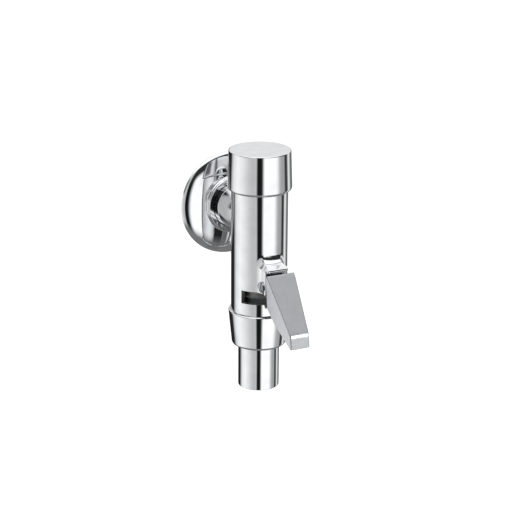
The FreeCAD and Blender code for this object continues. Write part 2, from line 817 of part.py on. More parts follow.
def inlet_washer():
    """Flat sealing washer at the bottom of the neck's socket."""
    low = socket_end_y + strainer_thickness
    return ring(INLET, port_r + washer_stand, thread_r - washer_play, low, low + washer_thickness)


def inlet_strainer():
    """Perforated disc that keeps grit out of the valve."""
    disc = rod(INLET, thread_r - strainer_play, socket_end_y, socket_end_y + strainer_thickness)
    holes = []
    for circle in range(1, strainer_circles + 1):
        count = strainer_first_circle * circle
        place_r = circle * port_r / strainer_spread
        for number in range(count):
            turn = 2 * math.pi * number / count
            centre = FreeCAD.Vector(
                place_r * math.cos(turn), socket_end_y - cut_over, place_r * math.sin(turn))
            holes.append(Part.makeCylinder(
                strainer_hole_r, strainer_thickness + 2 * cut_over, centre, FreeCAD.Vector(0, 1, 0)))
    return disc.cut(holes)


def dome_arc(rim_r, bulge, inner_r):
    """Arc of an ellipse from the wall to a smaller radius, with its inner end. Radii run along X."""
    turn = math.acos(inner_r / rim_r)
    ellipse = Part.Ellipse(FreeCAD.Vector(0, 0, 0), rim_r, bulge)
    inner_end = FreeCAD.Vector(inner_r, -bulge * math.sin(turn), 0)
    return Part.ArcOfEllipse(ellipse, -turn, 0).toShape(), inner_end


def rosette():
    """Domed wall cover that slides on the neck, with a hub round the ring that grips the neck."""
    hole_r = neck_r + loose_clearance
    ring_r = hole_r + rosette_ring_height
    hub_r = ring_r + rosette_sheet
    inner_rim = rosette_r - rosette_sheet
    outside, hub_foot = dome_arc(rosette_r, rosette_bulge, hub_r)
    inside, groove_edge = dome_arc(inner_rim, rosette_bulge - rosette_sheet, ring_r)
    floor_y = rosette_sheet - rosette_depth
    section = ((hub_r, -rosette_depth), (hole_r, -rosette_depth), (hole_r, floor_y), (ring_r, floor_y))
    corners = [hub_foot] + [FreeCAD.Vector(radius, y, 0) for radius, y in section] + [groove_edge]
    edges = [outside]
    for start, end in zip(corners, corners[1:]):
        edges.append(Part.makeLine(start, end))
    edges.append(inside)
    edges.append(Part.makeLine(FreeCAD.Vector(inner_rim, 0, 0), FreeCAD.Vector(rosette_r, 0, 0)))
    solid = Part.Face(Part.Wire(edges)).revolve(INLET[0], INLET[1], 360)

    def on_hub(height):
        return edges_where(solid, lambda middle: abs(math.hypot(middle.x, middle.z) - hub_r) < 0.01
                           and abs(middle.y - height) < 0.01)

    solid = solid.makeFillet(rosette_hub_round, on_hub(-rosette_depth))
    return solid.makeFillet(rosette_hub_root, on_hub(hub_foot.y))


def rosette_ring():
    """Rubber ring in the rosette that grips the neck."""
    low = -rosette_depth + rosette_sheet + rosette_ring_play
    high = low + rosette_ring_width - 4 * rosette_ring_play
    return ring(INLET, neck_r + slide_clearance, neck_r + loose_clearance + rosette_ring_height, low, high)


def lever_half_width(up):
    """Half of the lever's width at a height above the pin."""
    share = (up - lever_knee[1]) / (lever_top[1] - lever_knee[1])
    return lever_half_width_low + (lever_half_width_top - lever_half_width_low) * share


def on_lever_back(point):
    """Whether a point lies within a few millimetres of the lever's back outline."""
    out = PIN[0].y - point.y
    up = point.z - pin_z
    low, high = lever_back_low, lever_back_top
    if up < lever_back_low[1]:
        low, high = lever_tip_back, lever_back_low
    share = (up - low[1]) / (high[1] - low[1])
    return out < low[0] + (high[0] - low[0]) * share + lever_back_reach


def lever_grip():
    """Wedge-shaped grip, hollow at the back."""
    top = lever_crown[1] + cut_over
    bottom = lever_tip[1] - 2 * cut_over
    length = lever_tip[0] + lever_heel_round
    wedge = side_plate([
        lever_top, lever_knee + (lever_knee_round,), lever_tip + (lever_tip_round,),
        lever_tip_back + (lever_tip_round,), lever_heel + (lever_heel_round,),
        lever_back_low + (lever_back_round,), lever_back_top, lever_crown], lever_half_width_top + cut_over)
    front_view = front_plate([
        (lever_half_width(top), top), (lever_half_width_low, lever_knee[1]),
        (lever_half_width_low, bottom)], length)
    outside = one_solid(wedge.common(front_view))
    crown_edges = edges_where(
        outside, lambda middle: middle.z - pin_z > lever_top[1] + 0.1 and abs(middle.x) > lever_half_width_low
        and PIN[0].y - middle.y > lever_back_top[0] + 0.3)
    outside = outside.makeFillet(lever_crown_round, crown_edges)
    front_edges = edges_where(
        outside, lambda middle: PIN[0].y - middle.y > lever_top[0] - 0.5 and abs(middle.x) > 1
        and not on_lever_back(middle))
    outside = outside.makeFillet(lever_edge, front_edges)

    slope = (lever_knee[0] - lever_top[0]) / (lever_top[1] - lever_knee[1])
    inset = lever_front_wall * math.hypot(slope, 1)
    hollow_top = lever_top[1] - lever_front_wall
    hollow = side_plate([
        (lever_top[0] + slope * lever_front_wall - inset, hollow_top),
        (lever_knee[0] - inset, lever_knee[1], lever_hollow_round),
        (lever_knee[0] - inset, lever_tip[1] + 2 * lever_front_wall),
        (lever_knee[0] - inset - lever_hollow_step, bottom), (0, bottom), (0, hollow_top)],
        lever_half_width_top)
    low_width = lever_half_width_low - lever_wall
    hollow_view = front_plate([
        (lever_half_width(top) - lever_wall, top), (low_width, lever_knee[1]), (low_width, bottom)], length)
    return outside.cut(hollow.common(hollow_view))


def lever():
    """Cast push lever: the grip, and a tongue with the hub and the cam nose."""
    slope = (lever_knee[0] - lever_top[0]) / (lever_top[1] - lever_knee[1])
    turn = math.radians(cam_angle)

    def on_cam(along, behind=0.0):
        """Point at a distance along the cam's flat, moved back from it towards the pin."""
        return (-(cam_flat - behind) * math.cos(turn) - along * math.sin(turn),
                (cam_flat - behind) * math.sin(turn) - along * math.cos(turn))

    def in_front_wall(below_top):
        """Point in the middle of the grip's front wall at a distance below its top."""
        return lever_top[0] + slope * below_top, lever_top[1] - below_top - lever_front_wall / 2

    tongue = side_plate([
        (0, hub_r), in_front_wall(tongue_joint_top), in_front_wall(tongue_joint_low),
        tongue_hollow + (tongue_hollow_round,), (tongue_low_out, -hub_r - tongue_low_cover),
        on_cam(cam_reach, cam_nose), on_cam(cam_reach), on_cam(0)], tongue_half_width)
    hub = rod(PIN, hub_r, -tongue_half_width, tongue_half_width)
    beyond_flat = side_plate([
        on_cam(-2 * hub_r), on_cam(2 * hub_r), on_cam(2 * hub_r, -hub_r), on_cam(-2 * hub_r, -hub_r)],
        tongue_half_width + cut_over)
    bore = rod(
        PIN, pin_r + slide_clearance + bush_wall, -tongue_half_width - cut_over, tongue_half_width + cut_over)
    arm = tongue.fuse(hub).cut(beyond_flat)
    return one_solid(lever_grip().fuse(arm).cut(bore))


def lever_bushes():
    """Two flanged plastic bushes in the lever's hub."""
    bushes = []
    for side in (-1, 1):
        frame = (PIN[0], PIN[1] * side, PIN[2])
        inner = pin_r + slide_clearance
        outer = inner + bush_wall
        end = tongue_half_width + bush_flange_thickness
        bushes.append(turned(frame, [
            (inner, bush_spacing), (outer, bush_spacing), (outer, tongue_half_width),
            (bush_flange_r, tongue_half_width), (bush_flange_r, end), (inner, end)]))
    return Part.makeCompound(bushes)


def lever_pin():
    """Pivot screw with a slotted round head on the left of the boss."""
    end = boss_half_width - pin_end_cover
    head = -boss_half_width - pin_head_height
    screw = turned(PIN, [
        (0, head), (pin_head_r, head, pin_round), (pin_head_r, -boss_half_width), (pin_r, -boss_half_width),
        (pin_r, end, pin_round), (0, end)])
    corner = PIN[0] + FreeCAD.Vector(head - cut_over, -pin_slot_width / 2, -2 * pin_head_r)
    slot = Part.makeBox(pin_slot_depth + cut_over, pin_slot_width, 4 * pin_head_r, corner)
    slot.rotate(PIN[0], PIN[1], pin_slot_angle)
    return screw.cut(slot)


def plunger():
    """Push pin with a round head that the lever's cam pushes."""
    tip = -stem_r - stem_gap
    reach = head_y + plunger_head_length
    origin, along, radial = PLUNGER

    def at(radius, height):
        return origin + radial * radius + along * height

    slant = plunger_head_r * math.sqrt(0.5)
    head_tip = (0, head_y - plunger_head_r)
    head_edge = (plunger_head_r, head_y)
    edges = [Part.Arc(at(*head_tip), at(slant, head_y - slant), at(*head_edge)).toShape()]
    corners = [
        head_edge, (plunger_head_r, reach), (plunger_r, reach), (plunger_r, tip), (0, tip), head_tip]
    for start, end in zip(corners, corners[1:]):
        edges.append(Part.makeLine(at(*start), at(*end)))
    return Part.Face(Part.Wire(edges)).revolve(origin, along, 360)


def plunger_bush():
    """Guide of the plunger, screwed into the body from the lever's side."""
    flange_y = -pocket_floor - plunger_bush_flange
    seal_high_y = plunger_seal_y + plunger_seal_width
    room_r = plunger_head_r + plunger_head_play
    bore = plunger_r + slide_clearance
    groove_r = plunger_r + plunger_seal_height
    return turned(PLUNGER, [
        (room_r, flange_y), (plunger_bush_flange_r, flange_y, plunger_bush_flange_round),
        (plunger_bush_flange_r, -pocket_floor), (plunger_bush_r, -pocket_floor),
        (plunger_bush_r, -plunger_bush_end, plunger_bush_round), (bore, -plunger_bush_end),
        (bore, seal_high_y), (groove_r, seal_high_y), (groove_r, plunger_seal_y), (bore, plunger_seal_y),
        (bore, plunger_room_y), (room_r, plunger_room_y)])


def plunger_seal():
    """Rubber ring round the plunger."""
    low = plunger_seal_y + plunger_seal_play
    high = plunger_seal_y + plunger_seal_width - plunger_seal_play
    return ring(PLUNGER, plunger_r + seal_clearance, plunger_r + plunger_seal_height, low, high)


def plunger_spring():
    """Return spring under the plunger's head."""
    low = head_y + plunger_head_length
    radius = (plunger_r + plunger_head_r) / 2
    return spring(PLUNGER, radius, plunger_spring_wire, low, plunger_room_y, plunger_spring_turns)


NODES = (
    valve_body, top_cap, cap_seal, seat_ring,
    piston, piston_lip_seal, main_washer, washer_nut, bleed_nozzle, piston_spring,
    relief_valve, relief_seal, relief_spring, relief_spring_seat,
    interrupter_nozzle, nozzle_seal, union_nut, cone_seal, slip_ring, flush_pipe,
    inlet_nipple, inlet_washer, inlet_strainer, rosette, rosette_ring,
    lever, lever_bushes, lever_pin, plunger, plunger_bush, plunger_seal, plunger_spring,
)

os.makedirs("parts", exist_ok=True)
for make in NODES:
    shape = make()
    shape.exportStep("parts/" + make.__name__ + ".step")
    print(make.__name__, len(shape.Solids), round(shape.Volume, 1), shape.isValid())
print("plunger stroke", round(plunger_stroke, 3))
print("stem arm", round(piston_floor_z - plunger_z, 3))
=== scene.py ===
import logging
import math
from dataclasses import dataclass
from enum import Enum
from typing import Any, Callable, Iterable, Optional, Protocol, Sequence

import bpy
from mathutils import Matrix, Vector


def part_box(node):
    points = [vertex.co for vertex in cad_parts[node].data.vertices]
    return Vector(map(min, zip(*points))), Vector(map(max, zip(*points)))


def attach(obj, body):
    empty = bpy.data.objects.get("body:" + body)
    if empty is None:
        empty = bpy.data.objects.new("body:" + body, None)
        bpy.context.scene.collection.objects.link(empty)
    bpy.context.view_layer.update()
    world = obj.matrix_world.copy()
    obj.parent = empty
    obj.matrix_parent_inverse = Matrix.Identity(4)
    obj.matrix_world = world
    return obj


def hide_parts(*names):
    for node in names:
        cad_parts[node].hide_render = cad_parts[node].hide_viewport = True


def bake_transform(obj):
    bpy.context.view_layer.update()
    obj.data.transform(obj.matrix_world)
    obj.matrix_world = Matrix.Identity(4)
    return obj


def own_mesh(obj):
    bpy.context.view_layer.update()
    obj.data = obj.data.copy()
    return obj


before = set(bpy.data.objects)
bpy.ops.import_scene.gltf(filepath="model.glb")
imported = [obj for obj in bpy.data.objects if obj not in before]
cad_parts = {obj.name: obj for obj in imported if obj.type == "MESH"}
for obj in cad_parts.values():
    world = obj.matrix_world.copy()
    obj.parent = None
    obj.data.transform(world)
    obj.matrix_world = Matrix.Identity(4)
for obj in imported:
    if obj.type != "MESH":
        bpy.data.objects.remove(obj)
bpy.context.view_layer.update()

logging.basicConfig(level=logging.INFO, format="%(name)s: %(message)s")
log = logging.getLogger("flush_valve")

MM = 0.001
WALL_TO_AXIS = 46.5 * MM
PISTON_LIFT = 10.0 * MM
PLUNGER_STROKE = 2.02 * MM

# Length of one wave of the wave texture at a scale of 1
WAVE_LENGTH = math.tau / 20

Color = tuple[float, float, float, float]
# Places along a scale, in rising order, each with a level
Stops = tuple[tuple[float, float], ...]
# A place along the axis, and the radius there as a function of the turn
Ring = tuple[float, Callable[[float], float]]


def srgb(code: str) -> Color:
    """Turn an sRGB hex colour into linear values.

    Args:
        code: Six hex digits with a leading hash.

    Returns:
        Red, green, blue and an alpha of one, all linear.
    """
    channels = [int(code[start:start + 2], 16) / 255 for start in (1, 3, 5)]
    linear = [value / 12.92 if value <= 0.04045 else ((value + 0.055) / 1.055) ** 2.4 for value in channels]
    return linear[0], linear[1], linear[2], 1.0


def grey(level: float) -> Color:
    """Neutral colour of one linear level."""
    return level, level, level, 1.0


def cells_per_metre(size_mm: float) -> float:
    """Texture scale at which one cell of a pattern is this many millimetres wide."""
    return 1.0 / (size_mm * MM)


def add_node(tree: bpy.types.NodeTree, kind: str, links: Optional[dict[Any, bpy.types.NodeSocket]] = None,
             inputs: Optional[dict[Any, Any]] = None, stops: Sequence[tuple[float, Color]] = (),
             **settings: Any) -> bpy.types.Node:
    """Add a node to a tree with its settings, values and incoming links.

    Args:
        tree: The node tree.
        kind: Blender's identifier of the node's type.
        links: Output sockets by the name or number of the input that each feeds.
        inputs: Default values by the name or number of the input.
        stops: Position and colour of each stop of a colour ramp, in rising order.
        **settings: Properties of the node itself.

    Returns:
        The new node.
    """
    node = tree.nodes.new(kind)
    for name, value in settings.items():
        setattr(node, name, value)
    for key, value in (inputs or {}).items():
        node.inputs[key].default_value = value
    for key, socket in (links or {}).items():
        tree.links.new(socket, node.inputs[key])
    if stops:
        elements = node.color_ramp.elements
        elements.remove(elements[-1])
        elements[0].position, elements[0].color = stops[0]
        for position, color in stops[1:]:
            elements.new(position).color = color
    return node


class Finish(Protocol):
    """Anything that can give the material of a surface."""

    def material(self) -> bpy.types.Material:
        """Material of this finish."""
        ...


def start_material(
        name: str) -> tuple[bpy.types.Material, bpy.types.NodeTree, bpy.types.Node, bpy.types.NodeSocket]:
    """Make a node material with its shader, output and object coordinates.

    Args:
        name: Name of the material.

    Returns:
        The material, its tree, its Principled shader and the object coordinates' socket.
    """
    material = bpy.data.materials.new(name)
    material.use_nodes = True
    tree = material.node_tree
    tree.nodes.clear()
    shader = add_node(tree, "ShaderNodeBsdfPrincipled")
    add_node(tree, "ShaderNodeOutputMaterial", links={"Surface": shader.outputs["BSDF"]})
    place = add_node(tree, "ShaderNodeTexCoord").outputs["Object"]
    return material, tree, shader, place


@dataclass(frozen=True)
class Surface:
    """Tone, roughness and fine relief of a finish, as patterns change them.

    Tones and roughness are each given at two values of their pattern.
    """

    tones: tuple[tuple[float, str], tuple[float, str]]
    roughness: tuple[tuple[float, float], tuple[float, float]]
    relief_mm: float

    def apply(self, shader: bpy.types.Node, tone_from: bpy.types.NodeSocket, gloss_from: bpy.types.NodeSocket,
              relief_from: bpy.types.NodeSocket) -> None:
        """Lead patterns to a shader's colour, roughness and normal.

        Args:
            shader: The Principled shader.
            tone_from: The pattern that the tones follow.
            gloss_from: The pattern that the roughness follows.
            relief_from: The pattern of the fine relief.
        """
        tree = shader.id_data
        tone = add_node(tree, "ShaderNodeValToRGB", links={"Fac": tone_from},
                        stops=[(value, srgb(code)) for value, code in self.tones])
        (low, smooth), (high, rough) = self.roughness
        gloss = add_node(tree, "ShaderNodeMapRange", links={"Value": gloss_from},
                         inputs={"From Min": low, "From Max": high, "To Min": smooth, "To Max": rough})
        bump = add_node(tree, "ShaderNodeBump", links={"Height": relief_from},
                        inputs={"Strength": 1.0, "Distance": self.relief_mm * MM})
        tree.links.new(tone.outputs["Color"], shader.inputs["Base Color"])
        tree.links.new(gloss.outputs["Result"], shader.inputs["Roughness"])
        tree.links.new(bump.outputs["Normal"], shader.inputs["Normal"])


@dataclass(frozen=True)
class ChromePlate:
    """Bright nickel-chromium plate on polished brass: a mirror with the faint haze that polishing leaves."""

    name: str = "Bright chrome plate on polished brass"
    bright: str = "#F1F2F3"
    dull: str = "#E6E8EA"
    haze_mm: float = 9.0
    wave_mm: float = 5.0
    wave_depth_mm: float = 0.0006
    roughness_low: float = 0.018
    roughness_high: float = 0.05

    def material(self) -> bpy.types.Material:
        """Mirror metal whose haze and roughness change slowly over the surface.

        Returns:
            The new material.
        """
        material, tree, shader, place = start_material(self.name)
        haze = add_node(tree, "ShaderNodeTexNoise", links={"Vector": place},
                        inputs={"Scale": cells_per_metre(self.haze_mm), "Detail": 3.0, "Roughness": 0.55})
        wave = add_node(tree, "ShaderNodeTexNoise", links={"Vector": place},
                        inputs={"Scale": cells_per_metre(self.wave_mm), "Detail": 1.0})
        surface = Surface(tones=((0.35, self.bright), (0.75, self.dull)),
                          roughness=((0.35, self.roughness_low), (0.75, self.roughness_high)),
                          relief_mm=self.wave_depth_mm)
        surface.apply(shader, haze.outputs["Fac"], haze.outputs["Fac"], wave.outputs["Fac"])
        shader.inputs["Metallic"].default_value = 1.0
        return material


@dataclass(frozen=True)
class PlatedCasting:
    """Plated casting that is bare inside: a mirror outside, and dull bored metal where no plate reached."""

    plate: ChromePlate
    name: str = "Chrome plate outside, bored brass casting inside"
    bare_light: str = "#B0AFAD"
    bare_dark: str = "#969593"
    bare_roughness: float = 0.55
    axis_y: float = -WALL_TO_AXIS
    plate_r: float = 18.7 * MM
    bare_r: float = 18.3 * MM
    # A boring tool leaves rings 0.2 mm apart. They are drawn 0.8 mm apart, so that the air slots show them.
    ring_mm: float = 0.8

    def material(self) -> bpy.types.Material:
        """The plate's material, mixed with dull metal near the casting's axis.

        Returns:
            The new material.
        """
        material = self.plate.material()
        material.name = self.name
        tree = material.node_tree
        shader = next(node for node in tree.nodes if node.type == "BSDF_PRINCIPLED")
        place = next(node for node in tree.nodes if node.type == "TEX_COORD").outputs["Object"]
        parts = add_node(tree, "ShaderNodeSeparateXYZ", links={"Vector": place})
        across = add_node(tree, "ShaderNodeCombineXYZ",
                          links={"X": parts.outputs["X"], "Y": parts.outputs["Y"]})
        from_axis = add_node(tree, "ShaderNodeVectorMath", links={0: across.outputs["Vector"]},
                             inputs={1: (0.0, self.axis_y, 0.0)}, operation="DISTANCE")
        bare = add_node(tree, "ShaderNodeMapRange", links={"Value": from_axis.outputs["Value"]},
                        inputs={"From Min": self.bare_r, "From Max": self.plate_r, "To Min": 1.0,
                                "To Max": 0.0}).outputs["Result"]
        along = add_node(tree, "ShaderNodeCombineXYZ", links={"Z": parts.outputs["Z"]})
        rings = add_node(tree, "ShaderNodeTexNoise", links={"Vector": along.outputs["Vector"]},
                         inputs={"Scale": cells_per_metre(self.ring_mm), "Detail": 2.0})
        tone = add_node(tree, "ShaderNodeValToRGB", links={"Fac": rings.outputs["Fac"]},
                        stops=((0.35, srgb(self.bare_dark)), (0.65, srgb(self.bare_light))))
        plate_tone = shader.inputs["Base Color"].links[0].from_socket
        plate_gloss = shader.inputs["Roughness"].links[0].from_socket
        color = add_node(tree, "ShaderNodeMix", links={0: bare, 6: plate_tone, 7: tone.outputs["Color"]},
                         data_type="RGBA")
        gloss = add_node(tree, "ShaderNodeMix", links={0: bare, 2: plate_gloss},
                         inputs={3: self.bare_roughness}, data_type="FLOAT")
        tree.links.new(color.outputs[2], shader.inputs["Base Color"])
        tree.links.new(gloss.outputs[0], shader.inputs["Roughness"])
        return material


@dataclass(frozen=True)
class SatinChrome:
    """Pearl chrome on a bead-blasted zinc casting: an even silver grey that blurs all it mirrors."""

    name: str = "Pearl chrome on bead-blasted zinc"
    light: str = "#B4B6B8"
    dark: str = "#A6A8AB"
    patch_mm: float = 7.0
    # Blasting leaves pits of about 0.05 mm. They are drawn at 0.35 mm, so that a close view shows them.
    pit_mm: float = 0.35
    pit_depth_mm: float = 0.006
    roughness_low: float = 0.36
    roughness_high: float = 0.43

    def material(self) -> bpy.types.Material:
        """Rough metal with fine pits and a slow change of tone.

        Returns:
            The new material.
        """
        material, tree, shader, place = start_material(self.name)
        patch = add_node(tree, "ShaderNodeTexNoise", links={"Vector": place},
                         inputs={"Scale": cells_per_metre(self.patch_mm), "Detail": 4.0}).outputs["Fac"]
        pits = add_node(tree, "ShaderNodeTexNoise", links={"Vector": place},
                        inputs={"Scale": cells_per_metre(self.pit_mm), "Detail": 2.0,
                                "Roughness": 0.6}).outputs["Fac"]
        both = add_node(tree, "ShaderNodeMath", links={0: patch, 1: pits}, operation="ADD")
        mean = add_node(tree, "ShaderNodeMath", links={0: both.outputs["Value"]}, inputs={1: 0.5},
                        operation="MULTIPLY")
        surface = Surface(tones=((0.35, self.dark), (0.65, self.light)),
                          roughness=((0.3, self.roughness_low), (0.7, self.roughness_high)),
                          relief_mm=self.pit_depth_mm)
        surface.apply(shader, mean.outputs["Value"], patch, pits)
        shader.inputs["Metallic"].default_value = 1.0
        return material


class Lay(Enum):
    """Axis about which a piece was turned. The tool's rings follow each other along it."""

    ABOUT_X = (1.0, 0.0, 0.0)
    ABOUT_Y = (0.0, 1.0, 0.0)
    ABOUT_Z = (0.0, 0.0, 1.0)


@dataclass(frozen=True)
class TurnedMetal:
    """Bare metal as it leaves the lathe or the die: fine rings from the tool, and faint stains."""

    name: str
    light: str
    dark: str
    roughness_low: float
    roughness_high: float
    lay: Lay = Lay.ABOUT_Y
    # A finishing cut leaves rings 0.1 mm apart. They are drawn 0.4 mm apart, so that a close view shows them.
    ring_mm: float = 0.4
    ring_depth_mm: float = 0.004
    stain_mm: float = 6.0

    def material(self) -> bpy.types.Material:
        """Metal with tool rings along its axis and a slow change of tone.

        Returns:
            The new material.
        """
        material, tree, shader, place = start_material(self.name)
        along = add_node(tree, "ShaderNodeVectorMath", links={0: place}, inputs={1: self.lay.value},
                         operation="DOT_PRODUCT")
        line = add_node(tree, "ShaderNodeCombineXYZ", links={"X": along.outputs["Value"]})
        rings = add_node(tree, "ShaderNodeTexWave", links={"Vector": line.outputs["Vector"]},
                         inputs={"Scale": cells_per_metre(self.ring_mm) * WAVE_LENGTH, "Distortion": 0.4,
                                 "Detail": 1.0})
        stain = add_node(tree, "ShaderNodeTexNoise", links={"Vector": place},
                         inputs={"Scale": cells_per_metre(self.stain_mm), "Detail": 4.0})
        surface = Surface(tones=((0.35, self.light), (0.7, self.dark)),
                          roughness=((0.3, self.roughness_low), (0.7, self.roughness_high)),
                          relief_mm=self.ring_depth_mm)
        surface.apply(shader, stain.outputs["Fac"], stain.outputs["Fac"], rings.outputs["Fac"])
        shader.inputs["Metallic"].default_value = 1.0
        return material


@dataclass(frozen=True)
class MouldedPlastic:
    """Injection-moulded acetal: a soft waxy gloss with the fine grain of the mould."""

    name: str
    light: str
    dark: str
    roughness_low: float = 0.33
    roughness_high: float = 0.45
    # A spark-eroded mould leaves a grain of about 0.1 mm, drawn at 0.5 mm so that a close view shows it.
    grain_mm: float = 0.5
    grain_depth_mm: float = 0.008
    flow_mm: float = 11.0
    acetal_ior: float = 1.48

    def material(self) -> bpy.types.Material:
        """Plastic with a grained skin and faint flow marks.

        Returns:
            The new material.
        """
        material, tree, shader, place = start_material(self.name)
        flow = add_node(tree, "ShaderNodeTexNoise", links={"Vector": place},
                        inputs={"Scale": cells_per_metre(self.flow_mm), "Detail": 2.0, "Distortion": 0.8})
        grain = add_node(tree, "ShaderNodeTexVoronoi", links={"Vector": place},
                         inputs={"Scale": cells_per_metre(self.grain_mm)})
        surface = Surface(tones=((0.35, self.light), (0.7, self.dark)),
                          roughness=((0.3, self.roughness_low), (0.7, self.roughness_high)),
                          relief_mm=self.grain_depth_mm)
        surface.apply(shader, flow.outputs["Fac"], flow.outputs["Fac"], grain.outputs["Distance"])
        shader.inputs["IOR"].default_value = self.acetal_ior
        return material


@dataclass(frozen=True)
class SealRubber:
    """Moulded EPDM: black and dull, with a pale bloom of wax on the skin."""

    name: str = "Moulded EPDM rubber"
    skin: str = "#17181A"
    bloom: str = "#2B2C2E"
    roughness_low: float = 0.54
    roughness_high: float = 0.72
    bloom_mm: float = 2.5
    grain_mm: float = 0.3
    grain_depth_mm: float = 0.01
    rubber_ior: float = 1.52

    def material(self) -> bpy.types.Material:
        """Dull black skin with uneven bloom.

        Returns:
            The new material.
        """
        material, tree, shader, place = start_material(self.name)
        cloud = add_node(tree, "ShaderNodeTexNoise", links={"Vector": place},
                         inputs={"Scale": cells_per_metre(self.bloom_mm), "Detail": 5.0, "Roughness": 0.65})
        grain = add_node(tree, "ShaderNodeTexNoise", links={"Vector": place},
                         inputs={"Scale": cells_per_metre(self.grain_mm), "Detail": 2.0})
        surface = Surface(tones=((0.4, self.skin), (0.8, self.bloom)),
                          roughness=((0.3, self.roughness_low), (0.7, self.roughness_high)),
                          relief_mm=self.grain_depth_mm)
        surface.apply(shader, cloud.outputs["Fac"], cloud.outputs["Fac"], grain.outputs["Fac"])
        shader.inputs["IOR"].default_value = self.rubber_ior
        return material


class Workshop:
    """Makes each finish's material once and dresses nodes with it."""

    def __init__(self) -> None:
        """Start with no materials made."""
        self._made: dict[Finish, bpy.types.Material] = {}

    def material(self, finish: Finish) -> bpy.types.Material:
        """Material of a finish, made on first use.

        Args:
            finish: The finish.

        Returns:
            Its material.
        """
        if finish not in self._made:
            self._made[finish] = finish.material()
        return self._made[finish]

    def dress(self, names: Iterable[str], finish: Finish) -> None:
        """Give CAD nodes a finish.

        Args:
            names: The nodes' names.
            finish: The finish that all of them get.
        """
        material = self.material(finish)
        for name in names:
            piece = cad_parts[name]
            piece.data.materials.clear()
            piece.data.materials.append(material)
            log.info("%s: %s", name, material.name)


CHROME = ChromePlate()
CASTING = PlatedCasting(CHROME)
SATIN = SatinChrome()
BRASS = TurnedMetal("Turned brass, bare", light="#D9BE83", dark="#B9975A", roughness_low=0.24,
                    roughness_high=0.38)
UPRIGHT_BRASS = TurnedMetal("Turned brass, bare, upright", light="#D9BE83", dark="#B9975A",
                            roughness_low=0.22, roughness_high=0.36, lay=Lay.ABOUT_Z)
SCREW_STEEL = TurnedMetal("Turned stainless steel", light="#B9BBBD", dark="#97999C", roughness_low=0.2,
                          roughness_high=0.32, lay=Lay.ABOUT_X, ring_mm=0.5, ring_depth_mm=0.003)
SPRING_STEEL = TurnedMetal("Drawn stainless spring wire", light="#C4C6C8", dark="#9DA0A3", roughness_low=0.22,
                           roughness_high=0.34, lay=Lay.ABOUT_Z, ring_mm=0.6, ring_depth_mm=0.002)
WHITE_ACETAL = MouldedPlastic("Moulded acetal, natural white", light="#EDEDE6", dark="#DFDFD6")
GREY_ACETAL = MouldedPlastic("Moulded acetal, grey", light="#86888A", dark="#77797B", roughness_low=0.40,
                             roughness_high=0.52)
RUBBER = SealRubber()


def copy_coils(node: str, shop: Workshop) -> bpy.types.Object:
    """Make a piece of a spring's coils that stands for its node.

    Args:
        node: The spring's node.
        shop: Where its material comes from.

    Returns:
        The dressed piece, not yet on a body.
    """
    spring = bpy.data.objects.new(node + "_coils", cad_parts[node].data.copy())
    bpy.context.scene.collection.objects.link(spring)
    spring.data.materials.clear()
    spring.data.materials.append(shop.material(SPRING_STEEL))
    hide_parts(node)
    return spring


@dataclass(frozen=True)
class ClosingSpring:
    """Spring on the valve, with the joint, axis, still end and travel of the real spring's shortening; its
    coils are only copied as they stand.
    """

    node: str
    joint: str
    axis: tuple[float, float, float]
    still_end: tuple[float, float, float]
    travel: float

    def build(self, shop: Workshop) -> None:
        """Copy the spring's coils onto the valve's body, with a mesh of their own.

        Args:
            shop: Where the material comes from.
        """
        spring = copy_coils(self.node, shop)
        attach(spring, "valve")
        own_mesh(spring)


@dataclass(frozen=True)
class BendingSpring:
    """Upright spring on the valve's axis, between the body above it and the body below it; its coils are only
    copied as they stand.
    """

    node: str
    upper_body: str
    lower_body: str

    def build(self, shop: Workshop) -> None:
        """Copy the spring's coils and bake their place into the mesh.

        Args:
            shop: Where the material comes from.
        """
        spring = copy_coils(self.node, shop)
        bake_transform(spring)
        log.info("%s: bends from %s to %s", spring.name, self.upper_body, self.lower_body)


@dataclass
class BodyCasting:
    """Cast body with the seat that is pressed into it."""

    shell: tuple[str, ...] = ("valve_body",)
    seat: tuple[str, ...] = ("seat_ring",)

    def build(self, shop: Workshop) -> None:
        """Plate the casting and leave the seat bare."""
        shop.dress(self.shell, CASTING)
        shop.dress(self.seat, UPRIGHT_BRASS)


@dataclass
class CapAssembly:
    """Screwed cap, its ring and the main spring under it."""

    cap: tuple[str, ...] = ("top_cap",)
    ring: tuple[str, ...] = ("cap_seal",)
    spring: ClosingSpring = ClosingSpring(
        node="piston_spring", joint="piston_lift", axis=(0.0, 0.0, 1.0),
        still_end=(0.0, -WALL_TO_AXIS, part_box("piston_spring")[1].z), travel=PISTON_LIFT)

    def build(self, shop: Workshop) -> None:
        """Dress the cap and what it closes in.

        Args:
            shop: Where the materials come from.
        """
        shop.dress(self.cap, CHROME)
        shop.dress(self.ring, RUBBER)
        self.spring.build(shop)


@dataclass
class PistonGroup:
    """Main piston with its seals, its jet and the relief valve in its bore."""

    plastic: tuple[str, ...] = ("piston", "relief_spring_seat")
    seals: tuple[str, ...] = ("piston_lip_seal", "main_washer", "relief_seal")
    turned: tuple[str, ...] = ("washer_nut", "bleed_nozzle", "relief_valve")
    spring: BendingSpring = BendingSpring(node="relief_spring", upper_body="piston", lower_body="relief")

    def build(self, shop: Workshop) -> None:
        """Dress the moving inner parts.

        Args:
            shop: Where the materials come from.
        """
        shop.dress(self.plastic, WHITE_ACETAL)
        shop.dress(self.seals, RUBBER)
        shop.dress(self.turned, UPRIGHT_BRASS)
        self.spring.build(shop)


